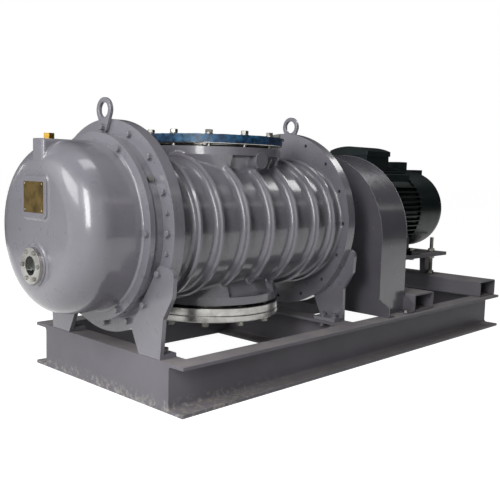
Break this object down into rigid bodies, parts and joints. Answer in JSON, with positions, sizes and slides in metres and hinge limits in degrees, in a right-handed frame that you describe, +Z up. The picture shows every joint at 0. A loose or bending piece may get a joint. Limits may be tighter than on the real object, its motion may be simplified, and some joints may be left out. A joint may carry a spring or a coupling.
{
  "type": "belt-driven rotary-lobe vacuum booster pump",
  "caption": "Rotary-lobe vacuum booster with ribbed housing and domed gear cover, driven by V-belts under a guard from a finned motor on a hinged plate, all on a welded channel skid.",
  "frame": {"origin": "centre of the overall box at the skid underside", "axes": "+X along the shafts from the gear end to the motor, +Y across, away from the drive shaft, +Z up"},
  "size_m": [2.9986, 1.08, 1.238],
  "materials": {
    "pump_paint": "gloss violet-grey enamel on cast iron",
    "painted_bolts": "bolt heads under the same enamel",
    "guard_paint": "gloss violet-grey enamel on sheet steel",
    "skid_paint": "violet-grey enamel on rolled steel, dusty",
    "motor_paint": "very dark green-black enamel on cast iron",
    "bright_steel": "turned bright",
    "bolt_steel": "zinc-plated",
    "blue_film": "protective film over a thin board",
    "gasket_sheet": "dark fibre sheet",
    "sight_window": "clear, green at the rim",
    "plate_brass": "satin, bare",
    "plug_brass": "machined",
    "gear_steel": "ground, oiled",
    "shaft_steel": "ground",
    "seal_rubber": "matt",
    "rotor_iron": "machined",
    "pulley_iron": "turned",
    "belt_rubber": "matt cloth-faced",
    "fan_plastic": "moulded"
  },
  "bodies": {
    "skid": {"near_side_channel": "skid_paint", "far_side_channel": "skid_paint", "gear_end_channel": "skid_paint", "middle_channel": "skid_paint", "motor_end_channel": "skid_paint", "front_cross_tube": "skid_paint", "rear_cross_tube": "skid_paint", "rotor_housing": "pump_paint", "inlet_neck": "pump_paint", "outlet_neck": "pump_paint", "gear_side_plate": "pump_paint", "drive_side_plate": "pump_paint", "gear_cover": "pump_paint", "gear_cover_fasteners": "bolt_steel", "gear_plate_bolts": "painted_bolts", "drive_plate_bolts": "painted_bolts", "near_gear_foot": "pump_paint", "far_gear_foot": "pump_paint", "near_drive_foot": "pump_paint", "far_drive_foot": "pump_paint", "foot_bolts": "bolt_steel", "gear_lifting_lug": "pump_paint", "drive_lifting_lug": "pump_paint", "inlet_flange_ring": "bright_steel", "inlet_film_board": "blue_film", "outlet_flange_ring": "bright_steel", "outlet_blank": "bright_steel", "port_bolts": "bolt_steel", "port_gaskets": "gasket_sheet", "sight_glass_flange": "bright_steel", "sight_glass_window": "sight_window", "nameplate": "plate_brass", "filler_plug": "plug_brass", "side_plug": "bolt_steel", "gear_end_bearings": "gear_steel", "drive_end_bearings": "gear_steel", "shaft_seals": "seal_rubber", "drive_end_cover": "pump_paint", "belt_guard": "guard_paint", "guard_bolts": "bolt_steel", "hinge_pins": "bolt_steel", "tension_studs": "bolt_steel", "v_belts": "belt_rubber"},
    "drive_rotor_set": {"drive_rotor": "rotor_iron", "drive_timing_gear": "gear_steel", "pump_pulley": "pulley_iron"},
    "idler_rotor_set": {"idler_rotor": "rotor_iron", "idler_timing_gear": "gear_steel", "oil_slinger": "gear_steel"},
    "motor_base": {"motor_plate": "skid_paint", "motor_foot_bolts": "bolt_steel", "motor_frame": "motor_paint", "motor_end_shields": "motor_paint", "fan_cowl": "motor_paint", "terminal_box": "motor_paint", "terminal_box_lid": "motor_paint"},
    "motor_rotor_set": {"motor_rotor": "shaft_steel", "motor_pulley": "pulley_iron", "motor_fan": "fan_plastic"},
    "tension_nut_set": {"tension_nuts": "bolt_steel"}
  },
  "joints": [
    {"name": "drive_rotor_spin", "type": "hinge", "parent": "skid", "child": "drive_rotor_set", "pos_m": [0, -0.145, 0.7], "axis": [1, 0, 0], "continuous": true},
    {"name": "idler_rotor_spin", "type": "hinge", "parent": "skid", "child": "idler_rotor_set", "pos_m": [0, 0.145, 0.7], "axis": [1, 0, 0], "continuous": true},
    {"name": "motor_plate_tilt", "type": "hinge", "parent": "skid", "child": "motor_base", "pos_m": [0, 0.41, 0.434], "axis": [-1, 0, 0], "range_deg": [0, 3], "deforming": ["v_belts"]},
    {"name": "motor_spin", "type": "hinge", "parent": "motor_base", "child": "motor_rotor_set", "pos_m": [0, 0.11, 0.725], "axis": [1, 0, 0], "continuous": true},
    {"name": "tension_nut_travel", "type": "slide", "parent": "skid", "child": "tension_nut_set", "axis": [0, 0, 1], "range_m": [0, 0.0267]}
  ],
  "couplings": [
    {"joint": "idler_rotor_spin", "follows": "drive_rotor_spin", "ratio": -1},
    {"joint": "motor_spin", "follows": "drive_rotor_spin", "ratio": 1.2475},
    {"joint": "tension_nut_travel", "follows": "motor_plate_tilt", "m_per_rad": 0.507}
  ]
}
